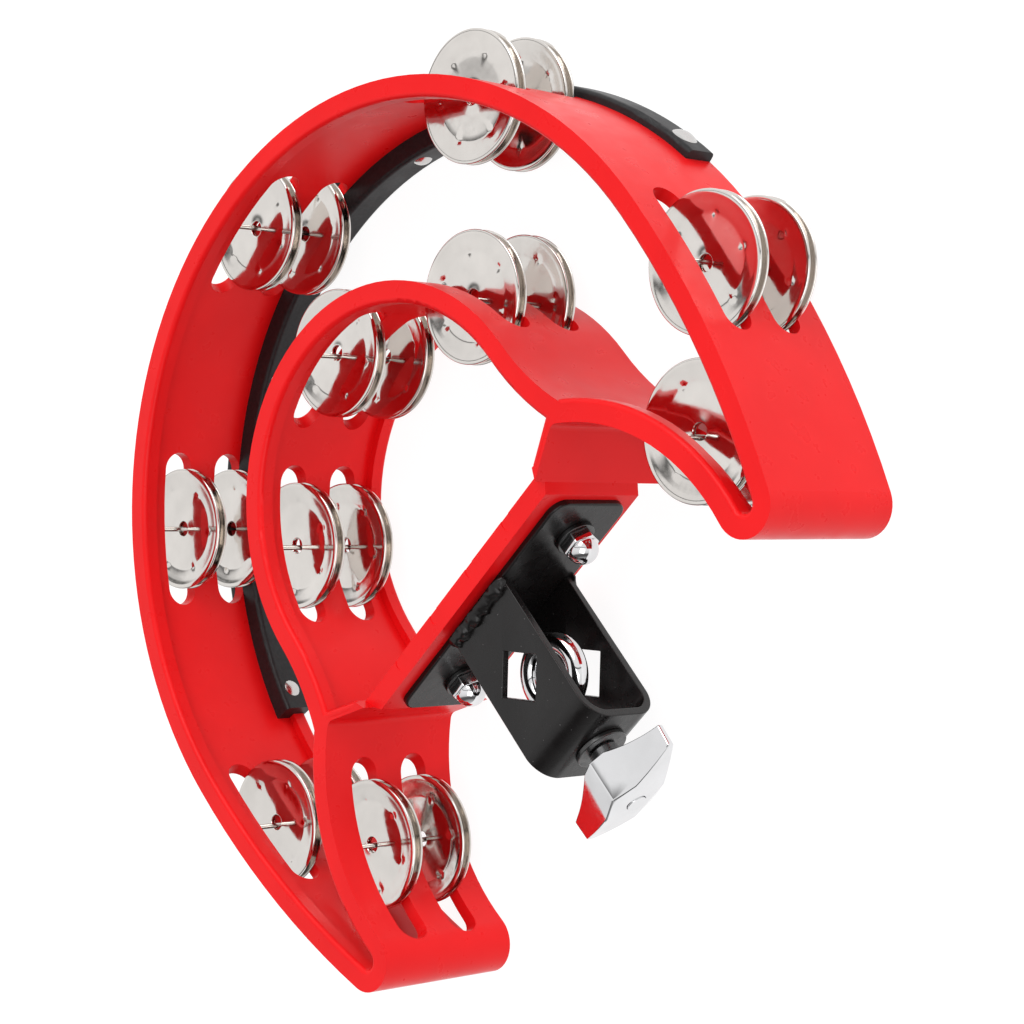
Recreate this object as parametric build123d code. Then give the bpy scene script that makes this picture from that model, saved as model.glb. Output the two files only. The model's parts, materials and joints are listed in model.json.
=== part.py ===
from build123d import *
import os
from math import asin, atan2, cos, degrees, hypot, radians, sin, sqrt

# Half-moon tambourine with a clamp for a drum-kit rod. Millimetres.
# The origin is the middle of the clamp's eye. Z runs along the rod, from the back
# rim to the front rim. +Y points from the clamp to the crown of the outer arc.
# The shell and all that is fixed in it are drawn about the shell's middle plane,
# which lies at SHELL_Z, because the channel is welded on a little forward of it.

# Shell: one moulding, a wall on edge that is symmetric about X = 0.
DEPTH = 52.4
SHELL_Z = -2.0
HALF = DEPTH / 2
RIM = 6.8               # thickness of the bead along each edge of the wall
WEB = 4.2               # thickness of the wall between the beads
BEAD = 5.3              # depth of each bead, along Z
ROUND = 1.5             # rounding of the beads' edges

ARC_AT, ARC_R, ARC_END = (0, 66.2), 129.7, 92.0    # outer arc, each way from +Y
LEG_AT, LEG_R = (-140.2, 71.1), 270.0              # flatter leg below it
HORN_AT, HORN_R, HORN_END = (26.2, -15.8), 66.4, 36.2   # hollow edge of a horn
TIP_R = 9.5                                        # rounded tip of a horn
LOOP_AT, LOOP_R = (0, 69.0), 66.7                  # inner loop, face to the crescent
FLARE_AT, FLARE_R = (146.7, 69.0), 80.0            # reverse curve at the loop's foot

BAR_LOW, BAR_HIGH, BAR_X, BAR_REACH = 27.5, 37.1, 47.6, 56.6    # bar that carries the bracket
BAR_SET_BACK, BAR_SET_IN = 4.1, 9.2                # from the front rim and from the back rim
STUB_OUT = ((65.4, 37.5), (49.8, 30.3))            # stub from horn to bar, outer line
STUB_IN = ((65.9, 41.7), (52.0, 34.8))             # and inner line, at the beads
NOTCH_ROUND = 3.0                                  # where a horn meets its stub
MARK_R, MARK_X = 2.5, (10.3, 31.0)                 # round moulding marks on the bar

# Slots and jingles
ROW_Z = 10.4                                       # two rows of slots, at +-ROW_Z
SLOT_W = 10.6
PIN_DEEP = 3.0                                     # from the wall's smooth face to the pins
PLACES = [                                         # name, centre, pin radius and turn, slot turn, slot
    ("crown", ARC_AT, ARC_R - PIN_DEEP, 0, 0, 51.5),
    ("shoulder", ARC_AT, ARC_R - PIN_DEEP, 50, 50, 51.5),
    ("leg", LEG_AT, LEG_R - PIN_DEEP, 96.2, 96.2, 51.5),
    ("loop_top", LOOP_AT, LOOP_R - PIN_DEEP, 0, 0, 51.5),
    ("loop_side", LOOP_AT, LOOP_R - PIN_DEEP, 60, 60, 51.5),
    ("horn", HORN_AT, HORN_R + PIN_DEEP, 70.0, 73.3, 59.6),
]
RESTS = {                                          # where each stack has settled about its pin
    "crown": (0, -0.3), "shoulder_right": (-0.7, -1.6), "shoulder_left": (1.2, -0.9),
    "leg_right": (0.5, -0.8), "leg_left": (0.8, 0.6),
    "loop_top": (0.6, 0.9), "loop_side_right": (0.5, 0.6), "loop_side_left": (-0.3, 1.1),
    "horn_right": (1.3, 1.0), "horn_left": (-0.7, 0.8),
}
DISC_R, DISC_HOLE_R, SHEET = 20.4, 2.9, 0.8
FLAT_R, BEND_R, DISH = 13.6, 18.2, 1.0             # dish between the flat and the rim
PAIR_GAP, STOP_GAP = 0.3, 0.1                      # between discs, and under the pair
PIN_R, PIN_HEAD_R, PIN_HEAD = 0.8, 1.6, 1.0
PIN_LOW, PIN_HIGH = -22.6, 20.4

# Strike strip over the back rim
STRIP_TURN, STRIP_OUT, STRIP_IN = 81.5, 3.0, 4.3
STRIP_BASE, STRIP_HIGH, STRIP_ROUND = 2.5, -15.6, 1.4
RIVET_TURNS, RIVET_Z = (-77.8, -25, 25, 77.8), -20.8
RIVET_R, RIVET_OUT_R, RIVET_IN_R = 1.6, 4.0, 3.0
DOME, HEAD_SUNK = 1.1, 0.6

# Bracket
PLATE_X, PLATE_Z, PLATE_T, PLATE_CORNER = 45.6, 15.0, 2.0, 5.0
PLATE_AT_Z = 1.6                                   # from the shell's middle plane
CHANNEL_X, CHANNEL_Z, CHANNEL_T = 14.2, 14.6, 2.5
CHANNEL_END, CHANNEL_BEND = -27.3, 8.5
ROD_HOLE = 13.6                                    # square hole, standing on its corner
BOLT_X, BOLT_R, BOLT_HOLE_R = 32.2, 3.0, 3.3
BOLT_HEAD_T, HEX_R = 4.0, 5.77
WASHER_T, WASHER_R = 1.4, 6.2
NUT_HEX_T, DOME_R, NUT_END = 3.6, 4.7, 15.6
WELD = 3.4

EYE_R, EYE_WIRE, EYE_BORE = 9.6, 3.2, 6.55
THREAD_R, RUN, BOLT_END = 3.0, 0.06, -48.6         # running clearance on the thread
END_WASHER_R, END_WASHER_T = 8.0, 1.5
COLLAR_TOP, COLLAR_R = -29.1, 4.5                  # round collar of the wing nut
WING_TOP, WING_END, WING_X, WING_Z = -33.0, -48.6, 22.3, 8.8
WING_TIP, WING_NECK = 0.8, 5.0                     # half thickness at tip, neck half width
WING_DROP, TIP_TALL = 4.5, 7.0                     # fall of the wings to their tips, their height
WING_CROWN = 1.9                                   # bulge of the outer face


def circles_meet(c1, r1, c2, r2):
    """The crossing of two circles that has the larger X."""
    dx, dy = c2[0] - c1[0], c2[1] - c1[1]
    d = hypot(dx, dy)
    along = (d * d + r1 * r1 - r2 * r2) / (2 * d)
    off = sqrt(r1 * r1 - along * along)
    x, y = c1[0] + dx * along / d, c1[1] + dy * along / d
    return max((x + s * off * dy / d, y - s * off * dx / d) for s in (1, -1))


def at_turn(centre, r, turn):
    """Point at radius r about centre, turned from +Y towards +X."""
    return (centre[0] + r * sin(radians(turn)), centre[1] + r * cos(radians(turn)))


def turn_of(centre, point):
    return degrees(atan2(point[0] - centre[0], point[1] - centre[1]))


def arc(centre, r, start, end):
    """Arc about centre between two points that lie on it."""
    a, b = turn_of(centre, start), turn_of(centre, end)
    return ThreePointArc(start, at_turn(centre, r, (a + b) / 2), end)


def both_sides(edges):
    """Face of a right half outline whose ends lie on X = 0, with its mirror image."""
    half = make_face(Wire(edges))
    return half + mirror(half, about=Plane.YZ)


TIP_AT = circles_meet(LEG_AT, LEG_R - TIP_R, HORN_AT, HORN_R + TIP_R)


def crescent_outline(inset, below):
    """Area inside the outer contour, inset from it, closed through the points below."""
    leg_turn, tip_turn = turn_of(LEG_AT, TIP_AT), turn_of(HORN_AT, TIP_AT)
    crown = (0, ARC_AT[1] + ARC_R - inset)
    arc_end = at_turn(ARC_AT, ARC_R - inset, ARC_END)
    leg_end = at_turn(TIP_AT, TIP_R - inset, leg_turn)
    tip_end = at_turn(HORN_AT, HORN_R + inset, tip_turn)
    tip_low = at_turn(TIP_AT, TIP_R - inset, (leg_turn + tip_turn + 180) / 2)
    horn_end = at_turn(HORN_AT, HORN_R + inset, HORN_END)
    corners = [horn_end] + list(below) + [crown]
    return both_sides(
        [arc(ARC_AT, ARC_R - inset, crown, arc_end),
         arc(LEG_AT, LEG_R - inset, arc_end, leg_end),
         ThreePointArc(leg_end, tip_low, tip_end),
         arc(HORN_AT, HORN_R + inset, tip_end, horn_end)]
        + [Line(a, b) for a, b in zip(corners, corners[1:])])


def loop_outline(inset):
    """Area inside the loop's outer face, inset from it, down past the junctions."""
    r, flare, foot = LOOP_R - inset, FLARE_R + inset, 34.0
    crown, side = (0, LOOP_AT[1] + r), (r, LOOP_AT[1])
    drop = LOOP_AT[1] - foot
    end = (FLARE_AT[0] - sqrt(flare * flare - drop * drop), foot)
    middle = (FLARE_AT[0] - sqrt(flare * flare - drop * drop / 4), LOOP_AT[1] - drop / 2)
    return both_sides([arc(LOOP_AT, r, crown, side), ThreePointArc(side, middle, end),
                       Line(end, (0, foot)), Line((0, foot), crown)])


def over_stubs(lower):
    """Area over the stubs' inner lines, lowered, as a wide wedge about X = 0."""
    (x1, y1), (x0, y0) = STUB_IN
    slope = (y1 - y0) / (x1 - x0)
    middle, far = y0 - slope * x0 - lower, y0 + slope * (200 - x0) - lower
    return make_face(Polyline((0, middle), (200, far), (200, 300), (-200, 300),
                              (-200, far), (0, middle)))


def wall_area(thick):
    """The wall seen along Z, flush with the outer contour and with the loop's face."""
    body = crescent_outline(0, [STUB_OUT[1], (BAR_X, BAR_LOW), (0, BAR_LOW)])
    horn_top = at_turn(HORN_AT, HORN_R, HORN_END)
    body = fillet(body.vertices().filter_by(
        lambda v: abs(abs(v.X) - horn_top[0]) < 0.1 and abs(v.Y - horn_top[1]) < 0.1), NOTCH_ROUND)
    crescent = crescent_outline(thick, [(0, 60)]) - loop_outline(0)
    eye = loop_outline(thick) & over_stubs(RIM - thick)
    return body - crescent - eye


def bar_area(low, high, reach):
    """Band of the bar between two heights in Y."""
    return Pos(0, (low + high) / 2) * Rectangle(2 * reach, high - low)


def between_stubs():
    """Area between the ends of the two stubs, where the wall is cut back to the bar."""
    (x0, y0), (x1, y1) = STUB_OUT[1], STUB_IN[1]
    low, high = (2 * x0 - x1, 2 * y0 - y1), (3 * x1 - 2 * x0, 3 * y1 - 2 * y0)
    return make_face(Polyline(low, high, (-high[0], high[1]), (-low[0], low[1]), low))


def shell_blank():
    """Wall, beads and bar, before anything is cut."""
    web = extrude(wall_area(WEB) - between_stubs(), HALF, both=True)
    rim = extrude(wall_area(RIM) - between_stubs(), BEAD)
    rim = fillet(rim.faces().sort_by(Axis.Z)[-1].edges(), ROUND)
    front = Pos(0, 0, HALF - BEAD) * rim
    bar = extrude(wall_area(WEB) & bar_area(BAR_LOW, BAR_HIGH, BAR_REACH),
                  DEPTH - BAR_SET_BACK - BAR_SET_IN)
    bar = Pos(0, 0, BAR_SET_IN - HALF) * bar
    return web + front + mirror(front, about=Plane.XY) + bar


def sides(turn):
    """Names and signs of a place: one in the middle, or a pair."""
    return [("", 1)] if turn == 0 else [("_right", 1), ("_left", -1)]


def place_at(centre, r, turn, sign):
    """A frame at a pin: local X along the wall, local Z along the wall's normal."""
    x, y = at_turn(centre, r, turn)
    normal = (sign * sin(radians(turn)), cos(radians(turn)), 0)
    return Plane(origin=(sign * x, y, 0), x_dir=(normal[1], -normal[0], 0), z_dir=normal)


def slot_cutters():
    """Two rounded slots through the wall at every place."""
    cutters = []
    for name, centre, r, turn, slot_turn, length in PLACES:
        for side, sign in sides(turn):
            plane = place_at(centre, r, slot_turn, sign)
            for z in (-ROW_Z, ROW_Z):
                window = Pos(0, z) * SlotOverall(length, SLOT_W)
                cutters.append(plane * Pos(0, 0, -4) * extrude(window, 10, both=True))
    return cutters


def pin(x, y, grow=0.0):
    """Nail from the back rim up through both slots; grow lengthens its head's seat."""
    shank = Pos(x, y, (PIN_LOW + PIN_HIGH) / 2) * Cylinder(PIN_R, PIN_HIGH - PIN_LOW)
    head = Pos(x, y, PIN_LOW - (PIN_HEAD + grow) / 2) * Cylinder(PIN_HEAD_R, PIN_HEAD + grow)
    return shank + head


def pin_points():
    points = []
    for name, centre, r, turn, slot_turn, length in PLACES:
        for side, sign in sides(turn):
            x, y = at_turn(centre, r, turn)
            points.append((sign * x, y))
    return points


def sector(reach):
    """Wide sector about the arc's centre, from -STRIP_TURN to STRIP_TURN."""
    right = at_turn(ARC_AT, reach, STRIP_TURN)
    corner = (right[0], ARC_AT[1] + reach)
    return make_face(Polyline(ARC_AT, right, corner, (-corner[0], corner[1]),
                              (-right[0], right[1]), ARC_AT))


def ring(low_r, high_r):
    return Pos(*ARC_AT) * (Circle(high_r) - Circle(low_r))


def strike_strip():
    """Soft channel over the back rim: two flanges and a base, swept round the arc."""
    inner, outer = ARC_R - RIM - STRIP_IN, ARC_R + STRIP_OUT
    seat, step = STRIP_BASE - HALF, BEAD - HALF
    section = make_face(Polyline(
        (inner, -HALF), (outer, -HALF), (outer, STRIP_HIGH), (ARC_R, STRIP_HIGH), (ARC_R, seat),
        (ARC_R - RIM, seat), (ARC_R - RIM, step), (ARC_R - WEB, step), (ARC_R - WEB, STRIP_HIGH),
        (inner, STRIP_HIGH), (inner, -HALF)))
    corners = section.vertices().filter_by(lambda v: v.X in (inner, outer))
    section = fillet(corners, STRIP_ROUND)
    start = radians(STRIP_TURN)
    radial = (-sin(start), cos(start), 0)
    plane = Plane(origin=(*ARC_AT, 0), x_dir=radial, z_dir=(radial[1], -radial[0], 0))
    return revolve(plane * section, Axis((*ARC_AT, 0), (0, 0, -1)), 2 * STRIP_TURN)


def turned(angle):
    """Plane at an angle round the outer arc: local Z points outwards."""
    normal = (sin(radians(angle)), cos(radians(angle)), 0)
    origin = (*at_turn(ARC_AT, 0, 0), RIVET_Z)
    return Plane(origin=origin, x_dir=(normal[1], -normal[0], 0), z_dir=normal)


def dome_head(r, high, sunk):
    """Low domed head of radius r, turned from its section, whose rim stands at Z = 0."""
    ball = (r * r + high * high) / (2 * high)
    lean = asin(r / ball) / 2
    shoulder = (ball * sin(lean), high - ball + ball * cos(lean))
    section = make_face(Wire([ThreePointArc((0, high), shoulder, (r, 0)), Line((r, 0), (r, -sunk)),
                              Line((r, -sunk), (0, -sunk)), Line((0, -sunk), (0, high))]))
    return revolve(Plane.XZ * section, Axis.Z)


def rivet_at(angle, shank_r, head_r, tail_r, dome):
    """Rivet through both flanges; without a dome it is the cutter of the rivet's seat."""
    outer, inner = ARC_R + STRIP_OUT, ARC_R - RIM - STRIP_IN
    shank = Pos(0, 0, (outer + inner) / 2) * Cylinder(shank_r, outer - inner)
    if dome:
        head, tail = dome_head(head_r, dome, HEAD_SUNK), dome_head(tail_r, dome, HEAD_SUNK)
    else:
        head = Pos(0, 0, 2 - HEAD_SUNK) * Cylinder(head_r, 4)
        tail = Pos(0, 0, 2 - HEAD_SUNK) * Cylinder(tail_r, 4)
    return turned(angle) * (shank + Pos(0, 0, outer) * head + Pos(0, 0, inner) * Rot(180, 0, 0) * tail)


def strip_rivets(dome=DOME):
    return [rivet_at(a, RIVET_R, RIVET_OUT_R, RIVET_IN_R, dome) for a in RIVET_TURNS]


def jingle(side):
    """One dished disc with a turned rim, flat round its hole. side +1 opens upwards."""
    outline = [(DISC_HOLE_R, 0), (FLAT_R, 0), (BEND_R, DISH * 0.55), (BEND_R + 1.2, DISH),
               (DISC_R, DISH), (DISC_R, DISH + SHEET), (BEND_R + 0.9, DISH + SHEET),
               (BEND_R - 0.3, DISH * 0.55 + SHEET), (FLAT_R, SHEET), (DISC_HOLE_R, SHEET)]
    section = make_face(Polyline(*outline, outline[0]))
    disc = revolve(Plane.XZ * section, Axis.Z)
    rim = disc.edges().filter_by(GeomType.CIRCLE).filter_by(lambda e: abs(e.radius - DISC_R) < 0.01)
    disc = fillet(rim, 0.35)
    return disc if side > 0 else mirror(disc, about=Plane.XY)


def jingles():
    """Two discs in each slot: the pair rests on the slot's lower edge."""
    made = {}
    upper, lower = jingle(1), jingle(-1)
    stack = DISH + SHEET
    for name, centre, r, turn, slot_turn, length in PLACES:
        for side, sign in sides(turn):
            x, y = at_turn(centre, r, turn)
            dx, dy = RESTS[name + side]
            for row, z in (("front", ROW_Z), ("back", -ROW_Z)):
                seat = Pos(sign * x + dx, y + dy, z - SLOT_W / 2 + STOP_GAP + stack)
                node = f"jingle_{name}{side}_{row}"
                made[node + "_lower"] = seat * lower
                made[node + "_upper"] = seat * Pos(0, 0, PAIR_GAP) * upper
    return made


def bolt_points():
    return [(-BOLT_X, 0), (BOLT_X, 0)]


def along_y(x, y, part):
    """Stand a part that was drawn along +Z on the point x, y so that it points to +Y."""
    return Pos(x, y, 0) * Rot(-90, 0, 0) * part


def tube_y(x, low, high, r):
    return along_y(x, low, Pos(0, 0, (high - low) / 2) * Cylinder(r, high - low))


def hexagon_y(x, low, high, r):
    return along_y(x, low, extrude(RegularPolygon(r, 6), high - low))


def bracket_bolts():
    bolts = []
    for x, z in bolt_points():
        low = NUT_END + DOME_R + 0.5
        shank = tube_y(x, low, BAR_HIGH, BOLT_R)
        bolts.append(shank + hexagon_y(x, BAR_HIGH, BAR_HIGH + BOLT_HEAD_T, HEX_R))
    return bolts


def cap_nuts():
    nuts = []
    top = BAR_LOW - PLATE_T - WASHER_T
    centre = NUT_END + DOME_R
    dome = Rot(180, 0, 0) * dome_head(DOME_R, DOME_R - 0.01, top - centre - 1)
    for x, z in bolt_points():
        body = hexagon_y(x, top - NUT_HEX_T, top, HEX_R)
        nuts.append(body + along_y(x, centre, dome) - tube_y(x, centre + 0.5, top, BOLT_R))
    return nuts


def nut_washers():
    high = BAR_LOW - PLATE_T
    return [tube_y(x, high - WASHER_T, high, WASHER_R) - tube_y(x, high - WASHER_T, high, BOLT_HOLE_R)
            for x, z in bolt_points()]


def bracket_plate():
    outline = Plane.XZ * RectangleRounded(2 * PLATE_X, 2 * PLATE_Z, PLATE_CORNER)
    plate = Pos(0, BAR_LOW, PLATE_AT_Z) * extrude(outline, PLATE_T)
    for x, z in bolt_points():
        plate -= tube_y(x, BAR_LOW - PLATE_T, BAR_LOW, BOLT_HOLE_R)
    return fillet(plate.faces().sort_by(Axis.Y)[0].edges().filter_by(lambda e: e.length > 20), 0.6)


def channel_profile(inset):
    """U shape seen along X, inset from its outside, open towards +Y."""
    z, end, bend = CHANNEL_Z - inset, CHANNEL_END + inset, CHANNEL_BEND - inset
    top = BAR_LOW - PLATE_T
    shape = Pos(0, (top + end) / 2) * Rectangle(2 * z, top - end)
    low = shape.vertices().group_by(Axis.Y)[0]
    return fillet(low, bend)


def bracket_channel():
    area = channel_profile(0) - channel_profile(CHANNEL_T)
    side_on = Plane(origin=(0, 0, 0), x_dir=(0, 0, 1), z_dir=(-1, 0, 0))
    body = extrude(side_on * area, CHANNEL_X, both=True)
    window = Rot(0, 0, 45) * Box(ROD_HOLE, ROD_HOLE, 3 * CHANNEL_Z)
    neck = tube_y(0, CHANNEL_END - 5, CHANNEL_END + 5, THREAD_R + RUN)
    return body - window - neck


def weld_beads():
    """Rounded fillet of weld along the outside of each channel wall, on the plate."""
    top = BAR_LOW - PLATE_T
    beads = []
    for sign in (-1, 1):
        bar = Pos(0, top, sign * CHANNEL_Z) * Rot(0, 90, 0) * Cylinder(WELD, 2 * CHANNEL_X + 2)
        keep = Pos(0, top - 5, sign * (CHANNEL_Z + 5)) * Box(60, 10, 10)
        beads.append(bar & keep)
    return beads


def eye_bolt():
    ring_body = Torus(EYE_R, EYE_WIRE) - Cylinder(EYE_BORE, 2 * EYE_WIRE + 2)
    return ring_body + tube_y(0, BOLT_END, -EYE_R, THREAD_R)


def channel_washer():
    low = CHANNEL_END - END_WASHER_T
    return tube_y(0, low, CHANNEL_END, END_WASHER_R) - tube_y(0, low, CHANNEL_END, THREAD_R + RUN)


def wing_side():
    """Right half of the wing nut seen along Z."""
    tip_top = (WING_X, WING_TOP - WING_DROP)
    tip_low = (WING_X - 0.5, WING_TOP - WING_DROP - TIP_TALL)
    dip = (WING_X * 0.57, WING_TOP - 0.64 * WING_DROP)
    return make_face(Wire([
        Line((0, WING_TOP), (WING_NECK, WING_TOP)),
        ThreePointArc((WING_NECK, WING_TOP), dip, tip_top),
        Line(tip_top, tip_low),
        ThreePointArc(tip_low, (WING_X / 2, WING_END + 1.4), (0, WING_END)),
        Line((0, WING_END), (0, WING_TOP)),
    ]))


def wing_crown():
    """Outline of the wing nut seen along X: straight, with a bulged outer end."""
    edge = WING_END + WING_CROWN
    return make_face(Wire([
        ThreePointArc((edge, -WING_Z), (WING_END, 0), (edge, WING_Z)),
        Line((edge, WING_Z), (WING_TOP, WING_Z)), Line((WING_TOP, WING_Z), (WING_TOP, -WING_Z)),
        Line((WING_TOP, -WING_Z), (edge, -WING_Z)),
    ]))


def wing_nut():
    """Round collar, and two wings on a hub that narrow to their tips."""
    profile = extrude(wing_side() + mirror(wing_side(), about=Plane.YZ), WING_Z, both=True)
    lozenge = Polygon((0, -WING_Z), (WING_X, -WING_TIP), (WING_X, WING_TIP), (0, WING_Z),
                      (-WING_X, WING_TIP), (-WING_X, -WING_TIP), align=None)
    facing = Plane(origin=(0, WING_TOP, 0), x_dir=(1, 0, 0), z_dir=(0, -1, 0))
    plan = extrude(facing * lozenge, WING_TOP - WING_END + 1)
    crown = extrude(Plane(origin=(0, 0, 0), x_dir=(0, 1, 0), z_dir=(1, 0, 0)) * wing_crown(),
                    WING_X + 1, both=True)
    collar = tube_y(0, WING_TOP - 1, COLLAR_TOP, COLLAR_R)
    return (profile & plan & crown) + collar - tube_y(0, WING_END - 1, COLLAR_TOP, THREAD_R + RUN)


def shell():
    """The moulding, with its slots, pin bores, bolt holes and the strip's seat."""
    body = shell_blank()
    body -= slot_cutters()
    body -= [pin(x, y, 10) for x, y in pin_points()]
    body -= [tube_y(x, BAR_LOW - 1, BAR_HIGH + 1, BOLT_HOLE_R) for x, z in bolt_points()]
    body -= Pos(0, 0, -HALF) * extrude(ring(110, 140) & sector(300), STRIP_BASE)
    body -= [turned(a) * Pos(0, 0, ARC_R) * Cylinder(RIVET_R, 20) for a in RIVET_TURNS]
    marks = [Pos(s * x, (BAR_LOW + BAR_HIGH) / 2, HALF - BAR_SET_BACK) * Cylinder(MARK_R, 0.4)
             for x in MARK_X for s in (-1, 1)]
    return body - marks


def save(node, shapes, z=0.0):
    """Write one node, moved along Z: a solid, or a group of solids."""
    found = shapes if isinstance(shapes, list) else [shapes]
    solids = [Pos(0, 0, z) * solid for shape in found for solid in shape.solids()]
    export_step(solids[0] if len(solids) == 1 else Compound(children=solids), f"parts/{node}.step")


os.makedirs("parts", exist_ok=True)
save("shell", shell(), SHELL_Z)
save("strike_strip", strike_strip() - strip_rivets(0), SHELL_Z)
save("strip_rivets", strip_rivets(), SHELL_Z)
save("jingle_pins", [pin(x, y) for x, y in pin_points()], SHELL_Z)
save("bracket_plate", bracket_plate(), SHELL_Z)
save("bracket_bolts", bracket_bolts(), SHELL_Z)
save("cap_nuts", cap_nuts(), SHELL_Z)
save("nut_washers", nut_washers(), SHELL_Z)
save("bracket_channel", bracket_channel())
save("weld_beads", weld_beads())
save("eye_bolt", eye_bolt())
save("channel_washer", channel_washer())
save("wing_nut", wing_nut())
for name, disc in jingles().items():
    save(name, disc, SHELL_Z)
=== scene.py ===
import json
from math import atan2, cos, hypot, pi, radians, sin

import bmesh
import bpy
from mathutils import Matrix, Vector, noise

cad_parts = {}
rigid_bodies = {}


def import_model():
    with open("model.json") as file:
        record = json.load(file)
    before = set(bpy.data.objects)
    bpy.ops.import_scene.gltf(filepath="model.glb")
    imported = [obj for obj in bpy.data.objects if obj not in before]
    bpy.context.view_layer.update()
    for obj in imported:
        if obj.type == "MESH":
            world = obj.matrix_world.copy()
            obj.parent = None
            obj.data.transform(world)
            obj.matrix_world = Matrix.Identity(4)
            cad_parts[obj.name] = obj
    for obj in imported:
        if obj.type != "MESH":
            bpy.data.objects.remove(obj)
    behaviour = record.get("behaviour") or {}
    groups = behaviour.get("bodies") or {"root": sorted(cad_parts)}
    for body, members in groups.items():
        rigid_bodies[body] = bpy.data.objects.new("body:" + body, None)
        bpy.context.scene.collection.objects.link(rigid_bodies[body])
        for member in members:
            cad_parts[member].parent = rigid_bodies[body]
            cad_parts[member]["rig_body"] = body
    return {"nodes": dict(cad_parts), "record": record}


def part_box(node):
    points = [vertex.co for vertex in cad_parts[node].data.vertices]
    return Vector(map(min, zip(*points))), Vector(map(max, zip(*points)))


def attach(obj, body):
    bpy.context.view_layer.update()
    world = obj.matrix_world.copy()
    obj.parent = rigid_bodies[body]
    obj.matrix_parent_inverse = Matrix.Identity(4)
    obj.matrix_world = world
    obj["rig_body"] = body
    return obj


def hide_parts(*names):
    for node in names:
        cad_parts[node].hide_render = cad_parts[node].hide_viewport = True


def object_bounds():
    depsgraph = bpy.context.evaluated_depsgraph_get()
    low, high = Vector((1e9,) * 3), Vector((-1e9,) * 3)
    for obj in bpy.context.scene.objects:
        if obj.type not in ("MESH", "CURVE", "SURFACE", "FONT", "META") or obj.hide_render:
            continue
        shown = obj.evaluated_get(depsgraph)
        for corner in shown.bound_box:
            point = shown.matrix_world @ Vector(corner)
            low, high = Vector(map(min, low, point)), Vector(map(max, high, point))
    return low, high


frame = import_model()
cad_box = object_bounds()
MM = 0.001

# --- Materials ---------------------------------------------------------------------------


class Nodes:
    """A new material with a Principled shader, and short ways to add and join nodes."""

    def __init__(self, name):
        self.material = bpy.data.materials.new(name)
        self.material.use_nodes = True
        self.tree = self.material.node_tree
        self.shader = self.tree.nodes["Principled BSDF"]
        self.place = self.add("ShaderNodeTexCoord").outputs["Object"]

    def add(self, kind, **values):
        node = self.tree.nodes.new(kind)
        for key, value in values.items():
            setattr(node, key, value)
        return node

    def join(self, output, socket):
        self.tree.links.new(output, socket)

    def set(self, **values):
        for key, value in values.items():
            self.shader.inputs[key.replace("_", " ")].default_value = value

    def noise(self, scale, detail=4.0, stretch=(1, 1, 1), rough=0.5):
        mapping = self.add("ShaderNodeMapping")
        mapping.inputs["Scale"].default_value = stretch
        self.join(self.place, mapping.inputs["Vector"])
        texture = self.add("ShaderNodeTexNoise")
        texture.inputs["Scale"].default_value = scale
        texture.inputs["Detail"].default_value = detail
        texture.inputs["Roughness"].default_value = rough
        self.join(mapping.outputs["Vector"], texture.inputs["Vector"])
        return texture.outputs["Fac"]

    def cells(self, scale):
        texture = self.add("ShaderNodeTexVoronoi")
        texture.inputs["Scale"].default_value = scale
        self.join(self.place, texture.inputs["Vector"])
        return texture.outputs["Distance"]

    def spread(self, value, low, high, to_low, to_high):
        node = self.add("ShaderNodeMapRange")
        for key, number in zip(("From Min", "From Max", "To Min", "To Max"),
                               (low, high, to_low, to_high)):
            node.inputs[key].default_value = number
        self.join(value, node.inputs["Value"])
        return node.outputs["Result"]

    def colours(self, value, *stops):
        ramp = self.add("ShaderNodeValToRGB")
        points = ramp.color_ramp.elements
        while len(points) < len(stops):
            points.new(0.5)
        for point, (at, colour) in zip(points, stops):
            point.position = at
            point.color = (*colour, 1)
        self.join(value, ramp.inputs["Fac"])
        return ramp.outputs["Color"]

    def bump(self, height, strength, distance):
        node = self.add("ShaderNodeBump")
        node.inputs["Strength"].default_value = strength
        node.inputs["Distance"].default_value = distance
        last = self.shader.inputs["Normal"]
        if last.links:
            self.join(last.links[0].from_socket, node.inputs["Normal"])
        self.join(height, node.inputs["Height"])
        self.join(node.outputs["Normal"], last)


def red_plastic():
    """Moulded plastic with a soft shine, slightly mottled."""
    m = Nodes("red_plastic")
    mottle = m.noise(38, 3)
    m.join(m.colours(mottle, (0.3, (0.74, 0.006, 0.008)), (0.7, (0.81, 0.008, 0.010))),
           m.shader.inputs["Base Color"])
    m.join(m.spread(m.noise(160, 5), 0.3, 0.7, 0.26, 0.36), m.shader.inputs["Roughness"])
    m.set(IOR=1.45, Specular_IOR_Level=0.18)
    m.bump(m.noise(30, 1), 0.02, 0.001)
    return m.material


def black_rubber():
    """Satin black strip with a fine grain that also roughens it."""
    m = Nodes("black_rubber")
    grain = m.noise(900, 3)
    m.join(m.colours(grain, (0.35, (0.006, 0.006, 0.007)), (0.7, (0.014, 0.014, 0.015))),
           m.shader.inputs["Base Color"])
    m.set(Specular_IOR_Level=0.3)
    m.join(m.spread(m.noise(120, 4), 0.3, 0.7, 0.38, 0.52), m.shader.inputs["Roughness"])
    m.bump(grain, 0.15, 0.0002)
    return m.material


def black_paint():
    """Black paint over steel, with orange peel and a few grey specks."""
    m = Nodes("black_paint")
    specks = m.cells(420)
    m.join(m.colours(specks, (0.03, (0.16, 0.15, 0.15)), (0.07, (0.006, 0.005, 0.005))),
           m.shader.inputs["Base Color"])
    m.join(m.spread(m.noise(200, 4), 0.3, 0.7, 0.20, 0.34), m.shader.inputs["Roughness"])
    m.set(Specular_IOR_Level=0.34)
    m.bump(m.noise(420, 2), 0.12, 0.0004)
    return m.material


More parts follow.
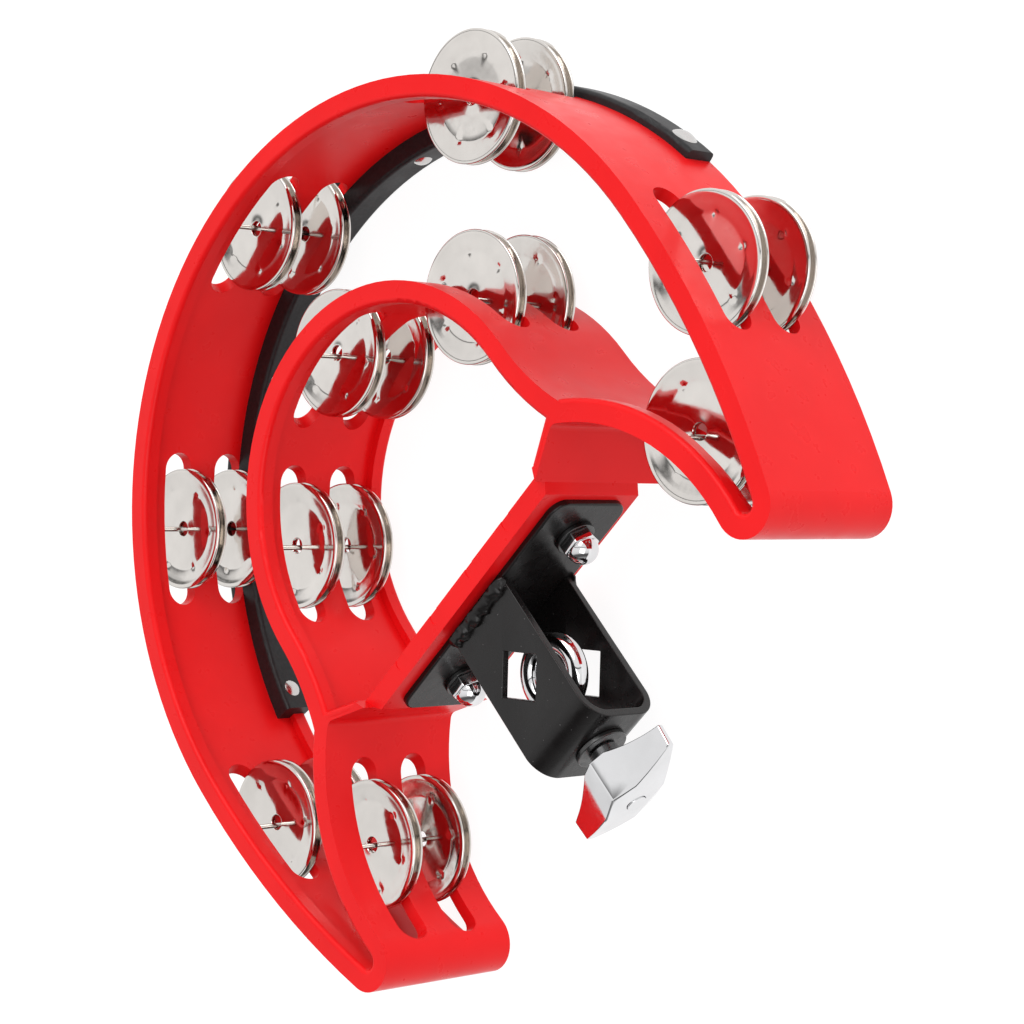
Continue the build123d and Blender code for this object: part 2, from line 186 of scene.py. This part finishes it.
def steel(name, colour, rough, grain=600, ripple=0.04, stretch=(1, 1, 1)):
    """Bright metal with slight tone and roughness changes and a faint ripple."""
    m = Nodes(name)
    low = tuple(c * 0.90 for c in colour)
    m.join(m.colours(m.noise(90, 4), (0.3, low), (0.7, colour)), m.shader.inputs["Base Color"])
    m.join(m.spread(m.noise(grain, 4, stretch), 0.3, 0.7, rough * 0.7, rough * 1.4),
           m.shader.inputs["Roughness"])
    m.set(Metallic=1.0)
    m.bump(m.noise(140, 2), ripple, 0.0005)
    return m.material


MATERIALS = {
    "red_plastic": red_plastic(),
    "black_rubber": black_rubber(),
    "black_paint": black_paint(),
    "jingle_steel": steel("jingle_steel", (0.75, 0.715, 0.68), 0.09),
    "pin_steel": steel("pin_steel", (0.62, 0.60, 0.57), 0.22, 900, 0.03, (1, 1, 0.05)),
    "rivet_steel": steel("rivet_steel", (0.62, 0.61, 0.60), 0.20),
    "bright_chrome": steel("bright_chrome", (0.77, 0.77, 0.78), 0.05, ripple=0.01),
    "dark_washer": steel("dark_washer", (0.10, 0.10, 0.10), 0.30),
}
SLOTS = {part["node"]: part["material_slot"] for part in frame["record"]["subparts"]}


def dress_cad():
    """Give every CAD node the finished material of its slot."""
    for node, obj in frame["nodes"].items():
        obj.data.materials.clear()
        obj.data.materials.append(MATERIALS[SLOTS[node]])


# --- Pieces ------------------------------------------------------------------------------


def piece(name, mesh, body, node, smooth_angle=35):
    """Add a mesh as a piece that rides on a body and stands for a CAD node."""
    obj = bpy.data.objects.new(name, mesh)
    bpy.context.scene.collection.objects.link(obj)
    mesh.materials.append(MATERIALS[SLOTS[node]])
    mesh.shade_smooth()
    mesh.set_sharp_from_angle(angle=radians(smooth_angle))
    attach(obj, body)
    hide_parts(node)
    return obj


def lathe(name, profile, steps, shape=None):
    """Closed ring of a profile of (radius, height) turned about Z, with optional dents."""
    mesh = bpy.data.meshes.new(name)
    work = bmesh.new()
    rings = []
    for i in range(steps):
        turn = 2 * pi * i / steps
        ring = []
        for r, z in profile:
            lift = shape(r, turn) if shape else 0.0
            ring.append(work.verts.new((r * cos(turn), r * sin(turn), z + lift)))
        rings.append(ring)
    count = len(profile)
    for i in range(steps):
        here, after = rings[i], rings[(i + 1) % steps]
        for j in range(count):
            k = (j + 1) % count
            work.faces.new((here[j], after[j], after[k], here[k]))
    bmesh.ops.recalc_face_normals(work, faces=work.faces)
    work.to_mesh(mesh)
    work.free()
    return mesh


# --- Jingles -----------------------------------------------------------------------------

SHEET = 0.8 * MM
DISC_R = 20.4 * MM
DIMPLES, DIMPLE_AT, DIMPLE_R, DIMPLE_DEEP = 6, 14.0 * MM, 1.5 * MM, 0.30 * MM


def disc_profile():
    """Section of one disc, opening upwards: burred hole, flat, flared dish, turned rim."""
    top = [(2.50, 0.70), (2.62, 0.84), (2.90, 0.84), (3.3, 0.76), (6.0, 0.74), (9.0, 0.74),
           (11.6, 0.74), (13.2, 0.76), (13.8, 0.80), (14.3, 0.90), (15.2, 1.06), (16.4, 1.26),
           (17.5, 1.44), (18.3, 1.58), (18.8, 1.70), (19.3, 1.79), (19.8, 1.80), (20.15, 1.74),
           (20.33, 1.60), (20.40, 1.42)]
    low = [(20.36, 1.18), (20.15, 1.04), (19.6, 1.00), (19.2, 0.98), (18.6, 0.84), (17.6, 0.65),
           (16.4, 0.46), (15.2, 0.26), (14.4, 0.11), (13.9, 0.03), (13.2, 0.0), (9.0, 0.0),
           (6.0, 0.0), (2.9, 0.0), (2.55, 0.08)]
    return [(r * MM, z * MM) for r, z in top + low]


def dimple(r, turn):
    """Depth of the small round punch marks."""
    sector = 2 * pi / DIMPLES
    off = (turn + sector / 2) % sector - sector / 2
    far = hypot(r - DIMPLE_AT, DIMPLE_AT * off)
    return -DIMPLE_DEEP * (0.5 + 0.5 * cos(pi * far / DIMPLE_R)) if far < DIMPLE_R else 0.0


def jingles():
    """A finer disc for every CAD disc, each turned on its pin by its own amount."""
    profile = disc_profile()
    names = sorted(n for n in frame["nodes"] if n.endswith(("_upper", "_lower")))
    for index, node in enumerate(names):
        low, high = map(Vector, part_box(node))
        centre = (low + high) / 2
        mesh = lathe(node + "_disc", profile, 112, dimple)
        mesh.transform(Matrix.Rotation(index * 2.399963, 4, "Z"))
        if node.endswith("_lower"):
            mesh.transform(Matrix.Rotation(pi, 4, "X"))
            mesh.transform(Matrix.Translation((centre.x, centre.y, high.z)))
        else:
            mesh.transform(Matrix.Translation((centre.x, centre.y, low.z)))
        piece(node + "_disc", mesh, node, node, 40)


# --- Hardware ----------------------------------------------------------------------------

ARC_Y, STRIP_OUT_R, STRIP_IN_R = 66.2 * MM, 132.7 * MM, 118.6 * MM
RIVET_TURNS, RIVET_Z, RIVET_OUT_R, RIVET_IN_R = (-77.8, -25, 25, 77.8), -22.8 * MM, 4.0 * MM, 3.0 * MM
BOLT_X, HEX_R, NUT_TALL, DOME_R = 32.2 * MM, 5.77 * MM, 3.6 * MM, 4.7 * MM
COLLAR_R = 4.9 * MM             # ring between a cap nut's hexagon and its dome
WELD_REACH = 4.2 * MM
SHARP_FROM = 28                 # degrees between faces from which an edge is rounded
AXIS_GAP = 0.02 * MM            # turned shapes stop this far short of their axis


def softened(node, width, clamp=True):
    """The CAD shape of a node with its sharp edges rounded, as a piece in its place."""
    source = frame["nodes"][node]
    mesh = bpy.data.meshes.new(node + "_soft")
    work = bmesh.new()
    work.from_mesh(source.data)
    bmesh.ops.remove_doubles(work, verts=work.verts, dist=1e-6)
    bmesh.ops.dissolve_limit(work, angle_limit=radians(1.5), verts=work.verts, edges=work.edges)
    sharp = [e for e in work.edges if len(e.link_faces) == 2
             and e.calc_face_angle(0) > radians(SHARP_FROM)]
    bmesh.ops.bevel(work, geom=sharp, offset=width, offset_type="OFFSET", segments=3,
                    profile=0.5, affect="EDGES", clamp_overlap=clamp)
    work.to_mesh(mesh)
    work.free()
    return piece(node + "_soft", mesh, source["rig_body"], node, 13)


def weld_bead(side):
    """Lumpy bead of weld in the corner between one channel wall and the plate."""
    low, high = map(Vector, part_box("weld_beads"))
    plate, wall = high.y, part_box("bracket_channel")[1][2]
    steps, spokes, reach = 90, 9, WELD_REACH
    start, end = low.x + 0.2 * MM, high.x - 0.2 * MM
    work = bmesh.new()
    rows = []
    for i in range(steps + 1):
        along = i / steps
        x = start + (end - start) * along
        taper = min(1.0, sin(pi * along) * 4)
        lump = noise.noise(Vector((x, side, 0)) * 320)
        scale = 0.78 + 0.10 * abs(sin(x / (1.9 * MM))) + 0.22 * lump
        r = max(0.3 * MM, reach * scale * (0.35 + 0.65 * taper))
        ring = [work.verts.new((x, plate, side * wall))]
        for j in range(spokes):
            turn = pi / 2 * j / (spokes - 1)
            rough = 1 + 0.16 * noise.noise(Vector((x * 500, turn * 2.2, side * 3)))
            ring.append(work.verts.new((x, plate - r * rough * sin(turn),
                                        side * (wall + 0.7 * r * rough * cos(turn)))))
        rows.append(ring)
    for here, after in zip(rows, rows[1:]):
        for j in range(len(here)):
            k = (j + 1) % len(here)
            work.faces.new((here[j], after[j], after[k], here[k]))
    work.faces.new(rows[0])
    work.faces.new(rows[-1])
    bmesh.ops.recalc_face_normals(work, faces=work.faces)
    name = "weld_bead_front" if side > 0 else "weld_bead_back"
    mesh = bpy.data.meshes.new(name)
    work.to_mesh(mesh)
    work.free()
    piece(name, mesh, "frame", "weld_beads", 60)


def dome_profile(r, high, sunk):
    """Section of a low domed head of radius r that stands up from height 0."""
    ball = (r * r + high * high) / (2 * high)
    lean = atan2(r, ball - high)
    steps = 14
    top = [(max(AXIS_GAP, ball * sin(lean * i / steps)), high - ball + ball * cos(lean * i / steps))
           for i in range(steps + 1)]
    return top + [(r, -sunk), (AXIS_GAP, -sunk)]


def rivets():
    """Round heads outside the strip and smaller ones inside it."""
    for index, angle in enumerate(RIVET_TURNS):
        stand = (Matrix.Translation((0, ARC_Y, RIVET_Z)) @ Matrix.Rotation(radians(-angle), 4, "Z")
                 @ Matrix.Rotation(radians(-90), 4, "X"))
        heads = (("out", STRIP_OUT_R, 1, RIVET_OUT_R, 1.5 * MM),
                 ("in", STRIP_IN_R, -1, RIVET_IN_R, 1.1 * MM))
        for where, at, way, r, high in heads:
            name = f"rivet_{index}_{where}"
            mesh = lathe(name, dome_profile(r, high, 0.5 * MM), 48)
            if way < 0:
                mesh.transform(Matrix.Rotation(pi, 4, "X"))
            mesh.transform(stand @ Matrix.Translation((0, 0, at)))
            piece(name, mesh, "frame", "strip_rivets", 40)


def cap_nuts():
    """Hexagon with a turned chamfer, and a smooth dome on it."""
    low, high = map(Vector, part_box("cap_nuts"))
    away = Matrix.Rotation(radians(90), 4, "X")
    for index, x in enumerate((-BOLT_X, BOLT_X)):
        stand = Matrix.Translation((x, high.y, (low.z + high.z) / 2)) @ away
        tall = high.y - low.y
        step = tall - DOME_R
        dome = [(DOME_R * cos(pi / 2 * i / 16) + AXIS_GAP, step + DOME_R * sin(pi / 2 * i / 16))
                for i in range(17)]
        profile = [(AXIS_GAP, NUT_TALL - 0.5 * MM), (COLLAR_R, NUT_TALL - 0.5 * MM),
                   (COLLAR_R, NUT_TALL + 0.1 * MM)] + dome
        mesh = lathe(f"cap_nut_dome_{index}", profile, 64)
        mesh.transform(stand)
        piece(f"cap_nut_dome_{index}", mesh, "frame", "cap_nuts", 40)
        mesh = hexagon(f"cap_nut_hex_{index}", HEX_R, NUT_TALL, 0.35 * MM)
        mesh.transform(stand)
        piece(f"cap_nut_hex_{index}", mesh, "frame", "cap_nuts", 25)


def hexagon(name, r, tall, soft):
    """Hexagonal prism on Z from 0 to its height, with rounded edges."""
    work = bmesh.new()
    ring = [work.verts.new((r * cos(pi / 3 * i), r * sin(pi / 3 * i), 0)) for i in range(6)]
    base = work.faces.new(ring)
    lifted = bmesh.ops.extrude_face_region(work, geom=[base])["geom"]
    top = [v for v in lifted if isinstance(v, bmesh.types.BMVert)]
    bmesh.ops.translate(work, verts=top, vec=(0, 0, tall))
    bmesh.ops.recalc_face_normals(work, faces=work.faces)
    bmesh.ops.bevel(work, geom=list(work.edges), offset=soft, offset_type="OFFSET", segments=3,
                    profile=0.5, affect="EDGES", clamp_overlap=True)
    mesh = bpy.data.meshes.new(name)
    work.to_mesh(mesh)
    work.free()
    return mesh


def hardware():
    """Everything of metal but the jingles and their pins."""
    for node, width in (("bracket_channel", 0.35), ("nut_washers", 0.2),
                        ("channel_washer", 0.3), ("bracket_bolts", 0.3)):
        softened(node, width * MM)
    softened("wing_nut", 0.5 * MM, clamp=False)
    cap_nuts()
    rivets()
    for side in (1, -1):
        weld_bead(side)


# --- Stage -------------------------------------------------------------------------------

CAMERA_AT = (0.4122, -0.3214, 0.5339)
CAMERA_RIGHT = (0.51642, -0.47870, -0.71004)
CAMERA_UP = (0.68200, 0.73135, 0.00296)
CAMERA_LENS = 89.16


def camera():
    data = bpy.data.cameras.new("camera")
    data.lens, data.sensor_width = CAMERA_LENS, 36.0
    data.clip_start, data.clip_end = 0.01, 50.0
    obj = bpy.data.objects.new("camera", data)
    right, up = Vector(CAMERA_RIGHT).normalized(), Vector(CAMERA_UP).normalized()
    turn = Matrix((right, up, right.cross(up))).transposed()
    obj.matrix_world = Matrix.Translation(CAMERA_AT) @ turn.to_4x4()
    bpy.context.scene.collection.objects.link(obj)
    bpy.context.scene.camera = obj


def area_light(name, at, size, power, target=(0, 0.05, 0)):
    data = bpy.data.lights.new(name, "AREA")
    data.shape, data.size, data.size_y, data.energy = "RECTANGLE", *size, power
    obj = bpy.data.objects.new(name, data)
    aim = Vector(target) - Vector(at)
    obj.matrix_world = Matrix.Translation(at) @ aim.to_track_quat("-Z", "Y").to_matrix().to_4x4()
    bpy.context.scene.collection.objects.link(obj)


def world():
    """Bright room with two dark bands across it, which give the chrome its streaks."""
    bpy.context.scene.view_settings.view_transform = "Standard"
    scene_world = bpy.data.worlds.new("studio")
    scene_world.use_nodes = True
    bpy.context.scene.world = scene_world
    tree = scene_world.node_tree
    place = tree.nodes.new("ShaderNodeTexCoord")
    height = tree.nodes.new("ShaderNodeVectorMath")
    height.operation = "DOT_PRODUCT"
    height.inputs[1].default_value = (0.68, 0.73, 0.10)
    spread = tree.nodes.new("ShaderNodeMapRange")
    spread.inputs["From Min"].default_value = -1.0
    ramp = tree.nodes.new("ShaderNodeValToRGB")
    stops = ((0.0, 0.60), (0.14, 0.10), (0.24, 0.12), (0.31, 0.80), (0.42, 0.92), (0.613, 1.0),
             (0.634, 0.12), (0.646, 0.15), (0.662, 0.95), (1.0, 1.0))
    points = ramp.color_ramp.elements
    while len(points) < len(stops):
        points.new(0.5)
    for point, (at, value) in zip(points, stops):
        point.position = at
        point.color = (value, value, value, 1)
    shade = tree.nodes["Background"]
    tree.links.new(place.outputs["Generated"], height.inputs[0])
    tree.links.new(height.outputs["Value"], spread.inputs["Value"])
    tree.links.new(spread.outputs["Result"], ramp.inputs["Fac"])
    tree.links.new(ramp.outputs["Color"], shade.inputs["Color"])
    shade.inputs["Strength"].default_value = 1.02


def floor():
    low = cad_box[0].z
    mesh = bpy.data.meshes.new("floor")
    reach = 4.0
    mesh.from_pydata([(-reach, -reach, low), (reach, -reach, low), (reach, reach, low),
                      (-reach, reach, low)], [], [(0, 1, 2, 3)])
    obj = bpy.data.objects.new("floor", mesh)
    m = Nodes("floor_white")
    m.join(m.colours(m.noise(6, 2), (0.3, (0.15, 0.15, 0.15)), (0.7, (0.17, 0.17, 0.17))),
           m.shader.inputs["Base Color"])
    m.set(Roughness=0.7, Specular_IOR_Level=0.1, Emission_Color=(1, 1, 1, 1),
          Emission_Strength=0.92)
    mesh.materials.append(m.material)
    bpy.context.scene.collection.objects.link(obj)


dress_cad()
jingles()
hardware()
camera()
world()
floor()
area_light("key", (0.9, 0.7, 1.1), (1.2, 0.8), 9)
area_light("front", (0.5, -0.9, 1.2), (1.0, 1.0), 6)
